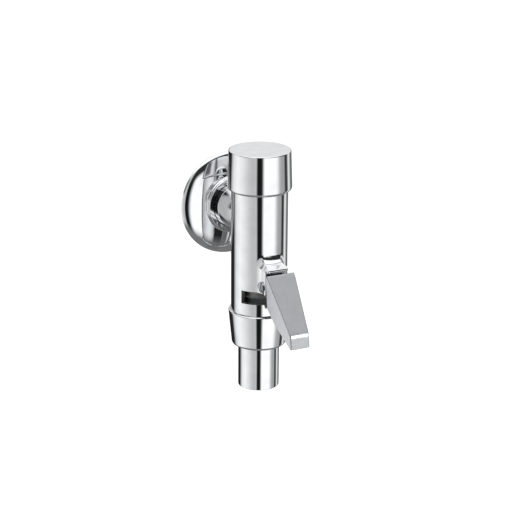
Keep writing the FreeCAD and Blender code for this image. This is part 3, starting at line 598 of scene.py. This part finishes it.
@dataclass
class LeverGroup:
    """Push lever on its pivot screw, and the plunger that it drives."""

    grip: tuple[str, ...] = ("lever",)
    pivot: tuple[str, ...] = ("lever_pin",)
    bushes: tuple[str, ...] = ("lever_bushes",)
    plunger: tuple[str, ...] = ("plunger", "plunger_bush")
    seal: tuple[str, ...] = ("plunger_seal",)
    spring: ClosingSpring = ClosingSpring(
        node="plunger_spring", joint="plunger_push", axis=(0.0, 1.0, 0.0),
        still_end=tuple(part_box("plunger_spring")[1]), travel=PLUNGER_STROKE)

    def build(self, shop: Workshop) -> None:
        """Dress the lever and its works.

        Args:
            shop: Where the materials come from.
        """
        shop.dress(self.grip, SATIN)
        shop.dress(self.pivot, SCREW_STEEL)
        shop.dress(self.bushes, WHITE_ACETAL)
        shop.dress(self.plunger, BRASS)
        shop.dress(self.seal, RUBBER)
        self.spring.build(shop)


@dataclass
class OutletJoint:
    """Pipe interrupter, union nut and flush pipe at the body's lower end."""

    plated: tuple[str, ...] = ("union_nut", "flush_pipe")
    seals: tuple[str, ...] = ("cone_seal", "nozzle_seal")
    nozzle: tuple[str, ...] = ("interrupter_nozzle",)
    ring: tuple[str, ...] = ("slip_ring",)

    def build(self, shop: Workshop) -> None:
        """Dress the outlet's parts.

        Args:
            shop: Where the materials come from.
        """
        shop.dress(self.plated, CHROME)
        shop.dress(self.seals, RUBBER)
        shop.dress(self.nozzle, GREY_ACETAL)
        shop.dress(self.ring, WHITE_ACETAL)


@dataclass
class InletConnection:
    """Rosette on the neck, and the threaded nipple that carries the valve, whose sizes are in metres."""

    cover: tuple[str, ...] = ("rosette",)
    seals: tuple[str, ...] = ("rosette_ring", "inlet_washer")
    strainer: tuple[str, ...] = ("inlet_strainer",)
    major_r: float = 13.2 * MM
    relief_r: float = 12.0 * MM
    bore_r: float = 9.5 * MM
    pitch: float = 1.814 * MM
    depth: float = 1.1 * MM
    # Shares of half a pitch: the flat root, and the flank above it. The flat crest takes the rest.
    root_share: float = 0.12
    flank_share: float = 0.76
    start_y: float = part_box("inlet_nipple")[0].y
    collar_y: float = -4.8 * MM
    collar_width: float = 2.6 * MM
    collar_flats: float = 27.0 * MM
    collar_trim: float = 0.5 * MM
    wall_y: float = 0.0
    end_y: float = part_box("inlet_nipple")[1].y
    thread_chamfer: float = 1.3 * MM
    edge_chamfer: float = 0.4 * MM
    steps_round: int = 96
    steps_pitch: int = 10
    crease_degrees: float = 40.0

    def thread_radius(self, angle: float, y: float) -> float:
        """Radius of the threaded skin.

        Args:
            angle: The turn about the axis.
            y: The place along the axis.

        Returns:
            The radius there.
        """
        share = (y / self.pitch - angle / math.tau) % 1.0
        ridge = 1.0 - abs(2.0 * share - 1.0)
        rise = min(1.0, max(0.0, (ridge - self.root_share) / self.flank_share))
        return self.major_r - self.depth * (1.0 - rise)

    def collar_radius(self, angle: float) -> float:
        """Radius of the six-sided collar.

        Args:
            angle: The turn about the axis.

        Returns:
            The radius there.
        """
        sixth = math.pi / 3
        off = (angle + sixth / 2) % sixth - sixth / 2
        return self.collar_flats / 2 / math.cos(off)

    def thread_run(self, low: float, high: float) -> list[Ring]:
        """Rings of a threaded stretch that is chamfered at both ends.

        Args:
            low: The stretch's start along the axis.
            high: Its end.

        Returns:
            The rings, from low to high.
        """
        count = max(2, round((high - low) / self.pitch * self.steps_pitch))
        run = []
        for number in range(count + 1):
            y = low + (high - low) * number / count
            limit = min(y - low, high - y) + self.major_r - self.thread_chamfer
            run.append((y, lambda angle, y=y, limit=limit: min(self.thread_radius(angle, y), limit)))
        return run

    def rings(self) -> list[Ring]:
        """Rings of the nipple's skin.

        Returns:
            The rings, from the bore's inner end round the outside to the bore's outer end.
        """
        collar_end = self.collar_y + self.collar_width
        rings: list[Ring] = [(self.start_y, lambda angle: self.bore_r)]
        rings += self.thread_run(self.start_y, self.collar_y)
        for y, trim in ((self.collar_y, self.collar_trim), (self.collar_y + self.edge_chamfer, 0.0),
                        (collar_end - self.edge_chamfer, 0.0), (collar_end, self.collar_trim)):
            rings.append((y, lambda angle, trim=trim: self.collar_radius(angle) - trim))
        rings.append((collar_end, lambda angle: self.relief_r))
        rings.append((self.wall_y, lambda angle: self.relief_r))
        rings += self.thread_run(self.wall_y, self.end_y)
        rings.append((self.end_y, lambda angle: self.bore_r + self.edge_chamfer))
        rings.append((self.end_y - self.edge_chamfer, lambda angle: self.bore_r))
        return rings

    def nipple_mesh(self) -> bpy.types.Mesh:
        """Closed mesh of the nipple with a real helical thread.

        Returns:
            The new mesh.
        """
        rings = self.rings()
        points = []
        for y, radius_at in rings:
            for step in range(self.steps_round):
                angle = math.tau * step / self.steps_round
                radius = radius_at(angle)
                points.append((radius * math.cos(angle), y, radius * math.sin(angle)))
        faces = []
        for row in range(len(rings)):
            below = row * self.steps_round
            above = (row + 1) % len(rings) * self.steps_round
            for step in range(self.steps_round):
                following = (step + 1) % self.steps_round
                faces.append((below + step, above + step, above + following, below + following))
        mesh = bpy.data.meshes.new("inlet_nipple_threaded")
        mesh.from_pydata(points, [], faces)
        mesh.update()
        return mesh

    def build(self, shop: Workshop) -> None:
        """Cut the thread and dress the inlet's parts.

        Args:
            shop: Where the materials come from.
        """
        nipple = bpy.data.objects.new("inlet_nipple_threaded", self.nipple_mesh())
        bpy.context.scene.collection.objects.link(nipple)
        nipple.data.materials.append(shop.material(BRASS))
        shade_by_angle(nipple, self.crease_degrees)
        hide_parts("inlet_nipple")
        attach(nipple, "valve")
        log.info("inlet_nipple_threaded: %d faces, %s", len(nipple.data.polygons), BRASS.name)
        shop.dress(self.cover, CHROME)
        shop.dress(self.seals, RUBBER)
        shop.dress(self.strainer, SPRING_STEEL)


def shade_by_angle(piece: bpy.types.Object, degrees: float) -> None:
    """Shade a piece smooth, with creases where its faces turn by more than an angle.

    Args:
        piece: The mesh object.
        degrees: The least turn between two faces that stays a crease.
    """
    mesh = piece.data
    mesh.polygons.foreach_set("use_smooth", [True] * len(mesh.polygons))
    mesh.set_sharp_from_angle(angle=math.radians(degrees))
    mesh.update()


def ramp_stops(stops: Stops, limit: float) -> list[tuple[float, Color]]:
    """Stops of a colour ramp that stands for a range of degrees.

    Args:
        stops: Degrees and linear level of each stop.
        limit: The range goes from minus this many degrees to plus this many.

    Returns:
        Position and colour of each stop.
    """
    return [((degrees + limit) / (2 * limit), grey(level)) for degrees, level in stops]


@dataclass(frozen=True)
class Zone:
    """Part of the surroundings with soft edges, which covers what lies under it.

    Its stops say how far it covers, from 0 to 1, by turn and by rise in degrees.
    """

    turns: Stops
    rises: Stops
    level: float


@dataclass(frozen=True)
class SoftLamp:
    """Square lamp for everything: its place and side in metres and its power in watts."""

    name: str
    place: tuple[float, float, float]
    side: float
    power: float


@dataclass(frozen=True)
class LeverLamp:
    """Square lamp for the lever alone: its turn and rise in degrees, side in metres and power in watts."""

    name: str
    turn: float
    rise: float
    side: float
    power: float


# How far a zone covers by turn: behind the valve, in front of it, or all round
BEHIND: Stops = ((-145, 1), (-125, 0), (125, 0), (145, 1))
IN_FRONT: Stops = ((-125, 0), (-105, 1), (105, 1), (125, 0))
ALL_ROUND: Stops = ((-180, 1), (180, 1))


@dataclass
class Studio:
    """White studio: a pale floor, soft lamps, the panels that chrome mirrors, and the camera."""

    view_azimuth: float = math.radians(-26.598)
    view_elevation: float = math.radians(18.534)
    view_roll: float = math.radians(0.341)
    view_distance: float = 1152.85 * MM
    focal_pixels: float = 1708.98
    image_pixels: float = 510.0
    sensor_mm: float = 36.0
    aim: Vector = Vector((0.0, -WALL_TO_AXIS, -30.16 * MM))
    aim_pixel: tuple[float, float] = (259.208, 262.039)
    nearest_seen: float = 0.01
    farthest_seen: float = 40.0
    floor_z: float = -0.42
    floor_size: float = 14.0
    floor_paper: str = "#F7F7F7"
    floor_glow: float = 0.35
    dome_light: float = 0.75

    # The surroundings that chrome mirrors. Turns are counted from the camera's side towards +X, in degrees,
    # and levels are linear.
    panels: Stops = (
        # Black flag behind the left shoulder, and a wide white panel that fades towards the camera
        (-180, 0.02), (-126, 0.02), (-116, 0.58), (-104, 0.92), (-84, 1.06), (-60, 0.87), (-40, 0.65),
        (-26, 0.56), (-13, 0.58),
        # Black flag beside the camera, which gives the body its dark stripe
        (-10.5, 0.30), (-7.5, 0.01), (5, 0.01), (9, 0.05), (13, 0.58),
        # Bright panel at the right, which turns grey at its far side
        (18, 1.16), (59, 1.16), (67, 0.95), (76, 0.54), (86, 0.40), (95, 0.42), (99, 0.28),
        # Narrow black flag, a narrow white panel, and the grey room behind the right shoulder
        (104, 0.04), (110, 0.02), (117, 0.24), (123, 0.92), (132, 0.70), (142, 0.16), (160, 0.16),
        (180, 0.20))
    zones: tuple[Zone, ...] = (
        # White backdrop behind the valve, brighter higher up
        Zone(turns=BEHIND, rises=((2, 0), (14, 1)), level=0.84),
        Zone(turns=BEHIND, rises=((22, 0), (34, 1)), level=1.05),
        # Dim room in front at the left
        Zone(turns=((-100, 0), (-80, 1), (-42, 1), (-30, 0)), rises=((2, 0), (10, 1), (28, 1), (36, 0)),
             level=0.15),
        # Dark room at the right above the panels, which reaches lower at its far side
        Zone(turns=((-16, 0), (-4, 1), (105, 1), (125, 0)), rises=((8, 0), (16, 1)), level=0.03),
        Zone(turns=((24, 0), (52, 1), (105, 1), (125, 0)), rises=((-6, 0), (2, 1)), level=0.03),
        # Pale ceiling and dark ground
        Zone(turns=IN_FRONT, rises=((38, 0), (46, 1)), level=1.3),
        Zone(turns=ALL_ROUND, rises=((-46, 1), (-34, 0)), level=0.2))

    room_lamps: tuple[SoftLamp, ...] = (
        SoftLamp("lamp_above", place=(-0.5, -0.7, 1.3), side=1.4, power=9.0),
        SoftLamp("lamp_front", place=(0.9, -1.2, 0.35), side=1.0, power=4.0))
    lever_lamps: tuple[LeverLamp, ...] = (
        LeverLamp("lamp_knee", turn=54.0, rise=12.0, side=0.12, power=2.4),
        LeverLamp("lamp_left_side", turn=-131.0, rise=-23.0, side=0.7, power=2.2),
        LeverLamp("lamp_right_side", turn=146.0, rise=-12.0, side=0.7, power=1.8))
    lever_lamp_distance: float = 0.8

    def view_axes(self) -> tuple[Vector, Vector, Vector]:
        """Axes of the camera.

        Returns:
            Unit vectors to its right, to its top and back from its view.
        """
        azimuth, elevation = self.view_azimuth, self.view_elevation
        back = Vector((math.sin(azimuth) * math.cos(elevation), -math.cos(azimuth) * math.cos(elevation),
                       math.sin(elevation)))
        level = Vector((math.cos(azimuth), math.sin(azimuth), 0.0))
        up = back.cross(level)
        roll = self.view_roll
        right = math.cos(roll) * level + math.sin(roll) * up
        top = -math.sin(roll) * level + math.cos(roll) * up
        return right, top, back

    def build_camera(self) -> None:
        """Place the camera where the photograph was taken."""
        right, up, back = self.view_axes()
        middle = self.image_pixels / 2
        aside = (self.aim_pixel[0] - middle) / self.focal_pixels * self.view_distance
        above = -(self.aim_pixel[1] - middle) / self.focal_pixels * self.view_distance
        data = bpy.data.cameras.new("photograph")
        data.sensor_width = self.sensor_mm
        data.sensor_fit = "HORIZONTAL"
        data.lens = self.focal_pixels * self.sensor_mm / self.image_pixels
        data.clip_start = self.nearest_seen
        data.clip_end = self.farthest_seen
        camera = bpy.data.objects.new("photograph", data)
        bpy.context.scene.collection.objects.link(camera)
        place = self.aim + back * self.view_distance - right * aside - up * above
        axes = Matrix((right, up, back)).transposed().to_4x4()
        camera.matrix_world = Matrix.Translation(place) @ axes
        bpy.context.scene.camera = camera

    def turn_and_rise(self, tree: bpy.types.NodeTree) -> tuple[bpy.types.NodeSocket, bpy.types.NodeSocket]:
        """Direction of a ray in the world's nodes.

        Args:
            tree: The world's node tree.

        Returns:
            The turn from the camera's side and the rise above the horizon, each as a share of its range.
        """
        direction = add_node(tree, "ShaderNodeTexCoord").outputs["Generated"]
        parts = add_node(tree, "ShaderNodeSeparateXYZ", links={"Vector": direction})
        front = add_node(tree, "ShaderNodeMath", links={0: parts.outputs["Y"]}, inputs={1: -1.0},
                         operation="MULTIPLY")
        turn = add_node(tree, "ShaderNodeMath", links={0: parts.outputs["X"], 1: front.outputs["Value"]},
                        operation="ARCTAN2")
        from_camera = add_node(tree, "ShaderNodeMath", links={0: turn.outputs["Value"]},
                               inputs={1: self.view_azimuth}, operation="SUBTRACT")
        wrapped = add_node(tree, "ShaderNodeMath", links={0: from_camera.outputs["Value"]},
                           inputs={1: math.pi, 2: -math.pi}, operation="WRAP")
        rise = add_node(tree, "ShaderNodeMath", links={0: parts.outputs["Z"]}, operation="ARCSINE")
        turn_share, rise_share = (
            add_node(tree, "ShaderNodeMapRange", links={"Value": angle.outputs["Value"]},
                     inputs={"From Min": -limit, "From Max": limit}).outputs["Result"]
            for angle, limit in ((wrapped, math.pi), (rise, math.pi / 2)))
        return turn_share, rise_share

    def build_world(self) -> None:
        """Make the surroundings: white for the camera, panels for mirrors, an even dome for the rest."""
        world = bpy.data.worlds.new("studio")
        bpy.context.scene.world = world
        world.use_nodes = True
        tree = world.node_tree
        tree.nodes.clear()
        turn_share, rise_share = self.turn_and_rise(tree)
        mirrored = add_node(tree, "ShaderNodeValToRGB", links={"Fac": turn_share},
                            stops=ramp_stops(self.panels, 180)).outputs["Color"]
        for zone in self.zones:
            by_turn = add_node(tree, "ShaderNodeValToRGB", links={"Fac": turn_share},
                               stops=ramp_stops(zone.turns, 180))
            by_rise = add_node(tree, "ShaderNodeValToRGB", links={"Fac": rise_share},
                               stops=ramp_stops(zone.rises, 90))
            inside = add_node(tree, "ShaderNodeMath", operation="MULTIPLY",
                              links={0: by_turn.outputs["Color"], 1: by_rise.outputs["Color"]})
            mirrored = add_node(tree, "ShaderNodeMix", links={0: inside.outputs["Value"], 6: mirrored},
                                inputs={7: grey(zone.level)}, data_type="RGBA").outputs[2]
        path = add_node(tree, "ShaderNodeLightPath")
        around = add_node(tree, "ShaderNodeMix", links={0: path.outputs["Is Glossy Ray"], 7: mirrored},
                          inputs={6: grey(self.dome_light)}, data_type="RGBA")
        shown = add_node(tree, "ShaderNodeMix", inputs={7: grey(1.0)}, data_type="RGBA",
                         links={0: path.outputs["Is Camera Ray"], 6: around.outputs[2]})
        background = add_node(tree, "ShaderNodeBackground", links={"Color": shown.outputs[2]},
                              inputs={"Strength": 1.0})
        add_node(tree, "ShaderNodeOutputWorld", links={"Surface": background.outputs["Background"]})

    def build_floor(self) -> None:
        """Lay a pale floor that looks white to the camera and stays out of what chrome mirrors."""
        half = self.floor_size / 2
        mesh = bpy.data.meshes.new("floor")
        corners = ((-half, -half), (half, -half), (half, half), (-half, half))
        mesh.from_pydata([(x, y, self.floor_z) for x, y in corners], [], [(0, 1, 2, 3)])
        floor = bpy.data.objects.new("floor", mesh)
        bpy.context.scene.collection.objects.link(floor)
        material = bpy.data.materials.new("Matt white paper")
        material.use_nodes = True
        tree = material.node_tree
        tree.nodes.clear()
        paper = add_node(tree, "ShaderNodeBsdfDiffuse", inputs={"Color": srgb(self.floor_paper)})
        glow = add_node(tree, "ShaderNodeEmission", inputs={"Color": grey(1.0), "Strength": self.floor_glow})
        lit = add_node(tree, "ShaderNodeAddShader",
                       links={0: paper.outputs["BSDF"], 1: glow.outputs["Emission"]})
        path = add_node(tree, "ShaderNodeLightPath")
        seen = add_node(tree, "ShaderNodeMixShader", links={
            0: path.outputs["Is Camera Ray"], 1: paper.outputs["BSDF"], 2: lit.outputs["Shader"]})
        add_node(tree, "ShaderNodeOutputMaterial", links={"Surface": seen.outputs["Shader"]})
        mesh.materials.append(material)
        floor.visible_glossy = False

    def hang_lamp(self, name: str, place: Vector, target: Vector, side: float,
                  power: float) -> bpy.types.Object:
        """Hang a square lamp.

        Args:
            name: The lamp's name.
            place: Where it hangs.
            target: The point that it faces.
            side: Its side in metres.
            power: Its power in watts.

        Returns:
            The lamp's object.
        """
        data = bpy.data.lights.new(name, "AREA")
        data.size = side
        data.energy = power
        lamp = bpy.data.objects.new(name, data)
        bpy.context.scene.collection.objects.link(lamp)
        lamp.location = place
        lamp.rotation_euler = (target - place).to_track_quat("-Z", "Y").to_euler()
        return lamp

    def build_room_lamps(self) -> None:
        """Hang the large soft lamps, out of the chrome's sight."""
        for kind in self.room_lamps:
            lamp = self.hang_lamp(kind.name, Vector(kind.place), self.aim, kind.side, kind.power)
            lamp.visible_glossy = False

    def build_lever_lamps(self) -> None:
        """Aim soft lamps at the lever's knee and sides, with flags that keep them off everything else."""
        low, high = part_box("lever")
        target = (low + high) / 2
        lit = bpy.data.collections.new("lit_by_lever_lamps")
        lit.objects.link(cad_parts["lever"])
        for kind in self.lever_lamps:
            turn = math.radians(kind.turn) + self.view_azimuth
            rise = math.radians(kind.rise)
            away = Vector((math.sin(turn) * math.cos(rise), -math.cos(turn) * math.cos(rise), math.sin(rise)))
            place = target + away * self.lever_lamp_distance
            lamp = self.hang_lamp(kind.name, place, target, kind.side, kind.power)
            lamp.light_linking.receiver_collection = lit

    def build(self) -> None:
        """Set up everything around the valve."""
        bpy.context.scene.view_settings.view_transform = "Standard"
        self.build_camera()
        self.build_world()
        self.build_floor()
        self.build_room_lamps()
        self.build_lever_lamps()
        log.info("studio: camera at %s", [round(value, 4) for value in bpy.context.scene.camera.location])


def main() -> None:
    """Build the studio and dress every part of the valve."""
    Studio().build()
    shop = Workshop()
    groups = (BodyCasting(), CapAssembly(), PistonGroup(), LeverGroup(), OutletJoint(), InletConnection())
    for group in groups:
        group.build(shop)
    log.info("sizes written")


if __name__ == "__main__":
    main()
